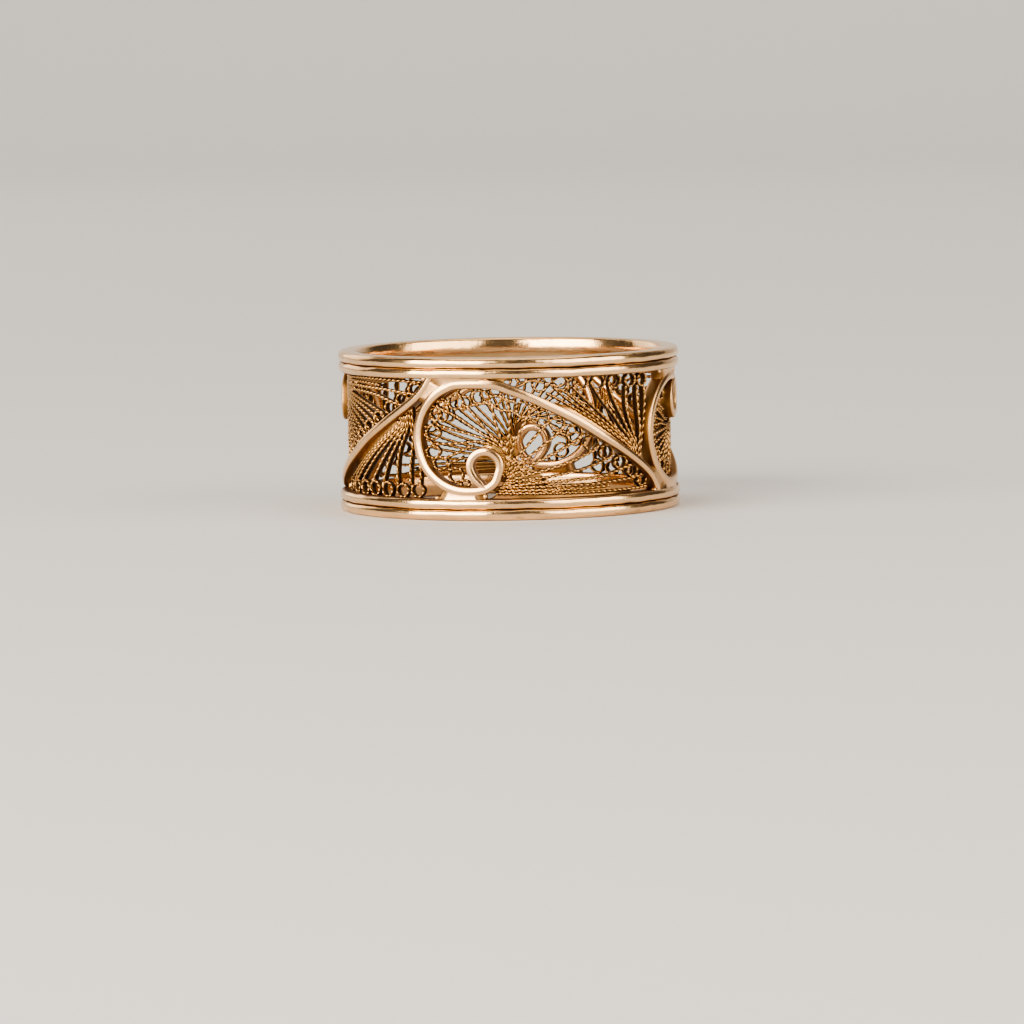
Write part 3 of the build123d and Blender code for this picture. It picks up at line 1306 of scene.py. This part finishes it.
def handled_group() -> bpy.types.NodeTree:
    """The small unevenness of worn metal: cloudy patches and fine scratches.

    Returns:
        The node group, with a cloud mask, a scratch mask and the height of both together.
    """
    tree = bpy.data.node_groups.new("handled_metal", "ShaderNodeTree")
    for name in ("Cloud Scale", "Scratch Scale"):
        tree.interface.new_socket(name, in_out="INPUT", socket_type="NodeSocketFloat")
    for name in ("Cloud", "Scratch", "Height"):
        tree.interface.new_socket(name, in_out="OUTPUT", socket_type="NodeSocketFloat")
    sheet = NodeSheet(tree)
    inputs, outputs = sheet.add("NodeGroupInput"), sheet.add("NodeGroupOutput")
    place = sheet.add("ShaderNodeTexCoord")
    cloud = sheet.add("ShaderNodeTexNoise")
    cloud.inputs["Detail"].default_value = CLOUD_DETAIL
    stretch = sheet.add("ShaderNodeMapping")
    stretch.inputs["Scale"].default_value = SCRATCH_STRETCH
    scratch = sheet.add("ShaderNodeTexNoise")
    scratch.inputs["Detail"].default_value = SCRATCH_DETAIL
    sheet.join(place.outputs["Object"], cloud.inputs["Vector"])
    sheet.join(inputs.outputs["Cloud Scale"], cloud.inputs["Scale"])
    sheet.join(place.outputs["Object"], stretch.inputs["Vector"])
    sheet.join(stretch.outputs["Vector"], scratch.inputs["Vector"])
    sheet.join(inputs.outputs["Scratch Scale"], scratch.inputs["Scale"])
    sheet.join(cloud.outputs["Fac"], outputs.inputs["Cloud"])
    sheet.join(scratch.outputs["Fac"], outputs.inputs["Scratch"])
    worked = sheet.add("ShaderNodeMath", operation="MULTIPLY_ADD")
    worked.inputs[1].default_value = CLOUD_WEIGHT
    sheet.join(cloud.outputs["Fac"], worked.inputs[0])
    sheet.join(scratch.outputs["Fac"], worked.inputs[2])
    sheet.join(worked.outputs["Value"], outputs.inputs["Height"])
    return tree


@dataclass(frozen=True)
class GoldFinish:
    """One finish of the ring's gold.

    Args:
        name: The material's name.
        bright: Colour where the metal stands proud.
        dark: Colour in the depth: tarnish, and painted shade of the recesses.
        depths: Distances from the axis where the bore's side is bright, where it is dark, where the face's
            side is still dark and where it is bright.
        smooth: Roughness of the best polished places.
        rough: Roughness in the recesses.
        uneven: How far the edge of the tarnish and painted shade wanders, in metres.
        cloud_scale: Scale of the cloudy patches.
        scratch_scale: Scale of the scratches.
        scratch_depth: Depth of the scratches, in metres.
    """

    name: str
    bright: tuple[float, float, float]
    dark: tuple[float, float, float]
    depths: tuple[float, float, float, float]
    smooth: float
    rough: float
    uneven: float = 0.0
    cloud_scale: float = 900.0
    scratch_scale: float = 14000.0
    scratch_depth: float = 0.002 * MM

    def material(self, proud: bpy.types.NodeTree, handled: bpy.types.NodeTree) -> bpy.types.Material:
        """Builds the material.

        Args:
            proud: The mask group of tarnish and painted shade.
            handled: The handled metal group.

        Returns:
            The material.
        """
        made = bpy.data.materials.new(self.name)
        made.use_nodes = True
        sheet = NodeSheet(made.node_tree)
        shader = made.node_tree.nodes["Principled BSDF"]
        shader.inputs["Metallic"].default_value = 1.0
        mask = sheet.add("ShaderNodeGroup", node_tree=proud)
        for name, depth in zip(DEPTH_NAMES, self.depths):
            mask.inputs[name].default_value = depth + self.uneven / 2
        mask.inputs["Unevenness"].default_value = self.uneven
        wear = sheet.add("ShaderNodeGroup", node_tree=handled)
        wear.inputs["Cloud Scale"].default_value = self.cloud_scale
        wear.inputs["Scratch Scale"].default_value = self.scratch_scale
        # The dark colour goes where the mask is 0, in the depth: tarnish, and painted shade of the recesses.
        tone = sheet.add("ShaderNodeMix", data_type="RGBA")
        tone.inputs["A"].default_value = (*self.dark, 1)
        tone.inputs["B"].default_value = (*self.bright, 1)
        sheet.join(mask.outputs["Mask"], tone.inputs["Factor"])
        patch = sheet.add("ShaderNodeMapRange")
        patch.inputs["From Min"].default_value, patch.inputs["From Max"].default_value = PATCH_SPAN
        patch.inputs["To Min"].default_value, patch.inputs["To Max"].default_value = 1.0, PATCH_DIM
        sheet.join(wear.outputs["Cloud"], patch.inputs["Value"])
        shade = sheet.add("ShaderNodeVectorMath", operation="SCALE")
        sheet.join(tone.outputs["Result"], shade.inputs[0])
        sheet.join(patch.outputs["Result"], shade.inputs["Scale"])
        sheet.join(shade.outputs["Vector"], shader.inputs["Base Color"])
        gloss = sheet.add("ShaderNodeMapRange")
        gloss.inputs["To Min"].default_value = self.rough
        gloss.inputs["To Max"].default_value = self.smooth
        sheet.join(mask.outputs["Mask"], gloss.inputs["Value"])
        haze = sheet.add("ShaderNodeMath", operation="MULTIPLY_ADD")
        haze.inputs[1].default_value = HAZE
        sheet.join(wear.outputs["Scratch"], haze.inputs[0])
        sheet.join(gloss.outputs["Result"], haze.inputs[2])
        sheet.join(haze.outputs["Value"], shader.inputs["Roughness"])
        bump = sheet.add("ShaderNodeBump")
        bump.inputs["Distance"].default_value = self.scratch_depth
        bump.inputs["Strength"].default_value = BUMP_STRENGTH
        sheet.join(wear.outputs["Height"], bump.inputs["Height"])
        sheet.join(bump.outputs["Normal"], shader.inputs["Normal"])
        return made


@dataclass
class FiligreeRing:
    """The whole ring.

    Args:
        band: Its main sizes.
        workshop: Where its pieces go.
        seed: Seed of the hand-set wires' small irregularities.
    """

    band: Band
    workshop: Workshop
    seed: int = 11

    def finishes(self) -> dict[Gold, bpy.types.Material]:
        """Builds the materials.

        Returns:
            Each finish's material.
        """
        bore, crown = self.band.bore, self.band.crown
        # Each finish's dark colour lies in its depth: tarnish, and painted shade of grooves, ribbon sides
        # and openwork.
        golds = {
            Gold.RIM: GoldFinish(
                name="polished_rim_gold",
                bright=(0.96, 0.62, 0.33),
                dark=(0.16, 0.08, 0.04),
                depths=(bore + 0.04 * MM, bore + 0.30 * MM, crown - 0.17 * MM, crown - 0.07 * MM),
                smooth=0.12,
                rough=0.42,
                uneven=0.34 * MM,
                scratch_depth=0.004 * MM,
            ),
            Gold.SCROLL: GoldFinish(
                name="polished_scroll_gold",
                bright=(0.95, 0.59, 0.31),
                dark=(0.28, 0.15, 0.055),
                depths=(bore + 0.04 * MM, bore + 0.30 * MM, crown - 0.29 * MM, crown - 0.14 * MM),
                smooth=0.14,
                rough=0.42,
                scratch_depth=0.003 * MM,
            ),
            # The wire's colours are kept well below the polished gold's: partly its oxide, partly painted
            # shade of the openwork.
            Gold.WIRE: GoldFinish(
                name="twisted_wire_gold",
                bright=(0.56, 0.315, 0.125),
                dark=(0.085, 0.043, 0.016),
                depths=(bore + 0.10 * MM, bore + 0.20 * MM, bore + 0.40 * MM, bore + 0.51 * MM),
                smooth=0.13,
                rough=0.5,
                scratch_depth=0.001 * MM,
            ),
            # The flooded solder's colours are kept dark so that the films also paint the shade seen through
            # the wires.
            Gold.FLOODED: GoldFinish(
                name="flooded_solder_and_shade_gold",
                bright=(0.68, 0.38, 0.14),
                dark=(0.23, 0.115, 0.05),
                depths=(bore + 0.20 * MM, bore + 0.26 * MM, bore + 0.28 * MM, bore + 0.42 * MM),
                smooth=0.22,
                rough=0.4,
                scratch_scale=9000.0,
                scratch_depth=0.003 * MM,
            ),
        }
        proud, handled = tarnish_and_shade_group(self.band), handled_group()
        return {gold: finish.material(proud, handled) for gold, finish in golds.items()}

    def build(self) -> None:
        """Builds and dresses every piece in order."""
        band, piece = self.band, self.workshop.piece
        gold = self.finishes()
        chance = random.Random(self.seed)
        piece("upper_rim", Rim(band, Upright.UP).mesh(chance), gold[Gold.RIM])
        piece("lower_rim", Rim(band, Upright.DOWN).mesh(chance), gold[Gold.RIM])
        ribbon, solder = ScrollRibbon(band), Solder(band)
        extra = between(SCROLL_WIRES[:RADIATING_WIRES])
        scroll = WireFan(band, SCROLL_WIRES + SCROLL_TIES, SCROLL_EYES)
        close_scroll = WireFan(band, SCROLL_WIRES + SCROLL_TIES + extra, SCROLL_EYES)
        corner = WireFan(band, CORNER_WIRES, CORNER_EYES)
        for unit in range(band.units):
            label = unit + 1
            fan = close_scroll if unit else scroll
            piece(f"scroll_ribbon_{label}", ribbon.mesh(unit), gold[Gold.SCROLL])
            piece(f"scroll_fan_{label}", fan.mesh(unit, chance), gold[Gold.WIRE])
            piece(f"corner_fan_{label}", corner.mesh(unit, chance), gold[Gold.WIRE])
            piece(f"solder_pools_{label}", solder.web_mesh(POOLS, unit), gold[Gold.SCROLL])
            # Films of solder behind the fans, whose dark colour also paints the shade seen through the
            # wires.
            piece(f"solder_and_shade_films_{label}", solder.web_mesh(FILMS, unit), gold[Gold.FLOODED])
            piece(f"solder_beads_{label}", solder.bead_mesh(BEADS, unit), gold[Gold.SCROLL])
            piece(f"solder_grains_{label}", solder.grain_mesh(HEAPS, unit, chance), gold[Gold.WIRE])


class SoftBox(NamedTuple):
    """A soft box: degrees to the right of the camera's side, degrees up, lengths in metres, and its aim."""

    name: str
    azimuth: float
    elevation: float
    distance: float
    width: float
    height: float
    brightness: float
    aim: tuple[float, float, float] = (0.0, 0.0, 0.0046)


WARM_WHITE = (1.0, 0.9, 0.76)
SOFT_BOXES = [
    SoftBox("left_box", -44, 19, 0.46, 0.46, 0.32, 9.8),
    SoftBox("right_box", 55, 19, 0.46, 0.50, 0.32, 4.6),
    SoftBox("top_box", 0, 88, 1.00, 1.00, 1.10, 1.35),
    SoftBox("back_box", -135, 20, 0.55, 0.34, 0.30, 1.6),
    SoftBox("wall_box", 180, 58, 0.72, 1.20, 0.40, 2.0, (0.0, 0.90, 0.10)),
]
ROOM_COLOUR = (0.55, 0.53, 0.5)
ROOM_STRENGTH = 0.14
PAPER_COLOUR = (0.66, 0.67, 0.69)
PAPER_ROUGHNESS = 0.7
CLIP_START = 0.01
SENSOR_WIDTH = 36.0
PRINT_CONTRAST = "AgX - Medium High Contrast"


@dataclass
class Studio:
    """The plain floor, the soft lights and the camera.

    Args:
        band: The ring's main sizes.
        distance: From the camera to the ring's middle.
        elevation: The camera's angle above the band's middle plane, in degrees.
        roll: The picture's small turn, in degrees.
        middle_x: Pixel of the ring's middle, from the picture's left edge.
        middle_y: Pixel of the ring's middle, from the picture's top edge.
        scale: Pixels per metre at the ring's middle: half the ring is 170.2 pixels, or 9.8 mm.
    """

    band: Band
    distance: float = 392 * MM
    elevation: float = 4.25
    roll: float = 0.98
    middle_x: float = 509.3
    middle_y: float = 426.5
    scale: float = 170.2 / (9.8 * MM)

    def build(self) -> None:
        """Sets up everything that isn't the ring."""
        self.backdrop()
        self.lights()
        self.camera()
        bpy.context.scene.view_settings.look = PRINT_CONTRAST

    def camera(self) -> None:
        """Puts the camera at the photograph's angle."""
        lens = bpy.data.cameras.new("camera")
        lens.sensor_width = SENSOR_WIDTH
        lens.lens = self.scale * self.distance * SENSOR_WIDTH / PICTURE_SIDE
        half = PICTURE_SIDE / 2
        lens.shift_x = (half - self.middle_x) / PICTURE_SIDE
        lens.shift_y = (self.middle_y - half) / PICTURE_SIDE
        lens.clip_start = CLIP_START
        holder = bpy.data.objects.new("camera", lens)
        bpy.context.scene.collection.objects.link(holder)
        rise = math.radians(self.elevation)
        centre = Vector((0, 0, self.band.middle))
        away = Vector((0, -math.cos(rise), math.sin(rise)))
        facing = Matrix.Rotation(math.pi / 2 - rise, 4, "X")
        rolled = Matrix.Rotation(-math.radians(self.roll), 4, "Z")
        holder.matrix_world = Matrix.Translation(centre + away * self.distance) @ facing @ rolled
        bpy.context.scene.camera = holder

    def backdrop(self) -> None:
        """A pale floor that curves up into a wall far behind."""
        reach, wall, bend, steps = 0.9, 0.9, 0.35, 16
        work = bmesh.new()
        outline = [Vector((-reach, -reach, 0)), Vector((-reach, reach - bend, 0))]
        for step in range(1, steps + 1):
            turn = math.pi / 2 * step / steps
            across, up = bend * math.sin(turn), bend - bend * math.cos(turn)
            outline.append(Vector((-reach, reach - bend + across, up)))
        outline.append(Vector((-reach, reach, wall)))
        corners = [work.verts.new(point) for point in outline]
        edges = [work.edges.new(pair) for pair in zip(corners, corners[1:])]
        drawn = bmesh.ops.extrude_edge_only(work, edges=edges)
        far = [item for item in drawn["geom"] if isinstance(item, bmesh.types.BMVert)]
        bmesh.ops.translate(work, verts=far, vec=(2 * reach, 0, 0))
        bmesh.ops.recalc_face_normals(work, faces=work.faces)
        mesh = finished(work, "studio_floor")
        for polygon in mesh.polygons:
            polygon.use_smooth = True
        paper = bpy.data.materials.new("studio_paper")
        paper.use_nodes = True
        shader = paper.node_tree.nodes["Principled BSDF"]
        shader.inputs["Base Color"].default_value = (*PAPER_COLOUR, 1)
        shader.inputs["Roughness"].default_value = PAPER_ROUGHNESS
        mesh.materials.append(paper)
        floor = bpy.data.objects.new("studio_floor", mesh)
        bpy.context.scene.collection.objects.link(floor)

    def lights(self) -> None:
        """Soft boxes round the ring, one that lights the wall behind, and a dim room."""
        for box in SOFT_BOXES:
            self.soft_box(box)
        world = bpy.data.worlds.new("studio")
        world.use_nodes = True
        room = world.node_tree.nodes["Background"]
        room.inputs["Color"].default_value = (*ROOM_COLOUR, 1)
        room.inputs["Strength"].default_value = ROOM_STRENGTH
        bpy.context.scene.world = world

    def soft_box(self, box: SoftBox) -> None:
        """Adds one soft box.

        Args:
            box: Its place, size and brightness.
        """
        light = bpy.data.lights.new(box.name, "AREA")
        light.shape = "RECTANGLE"
        light.size, light.size_y = box.width, box.height
        light.energy = box.brightness * math.pi * box.width * box.height
        light.color = WARM_WHITE
        holder = bpy.data.objects.new(box.name, light)
        bpy.context.scene.collection.objects.link(holder)
        turn, rise = math.radians(box.azimuth), math.radians(box.elevation)
        away = Vector((math.sin(turn) * math.cos(rise), -math.cos(turn) * math.cos(rise), math.sin(rise)))
        holder.location = Vector((0, 0, self.band.middle)) + away * box.distance
        holder.rotation_euler = (Vector(box.aim) - holder.location).to_track_quat("-Z", "Y").to_euler()


def main() -> None:
    """Loads the frame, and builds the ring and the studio."""
    logging.basicConfig(level=logging.INFO, format="%(message)s")
    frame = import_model()
    band = Band.from_frame(frame)
    LOG.info("bore %.2f mm, crown %.2f mm, width %.2f mm", band.bore / MM, band.crown / MM, band.width / MM)
    FiligreeRing(band, Workshop()).build()
    Studio(band).build()


if __name__ == "__main__":
    main()
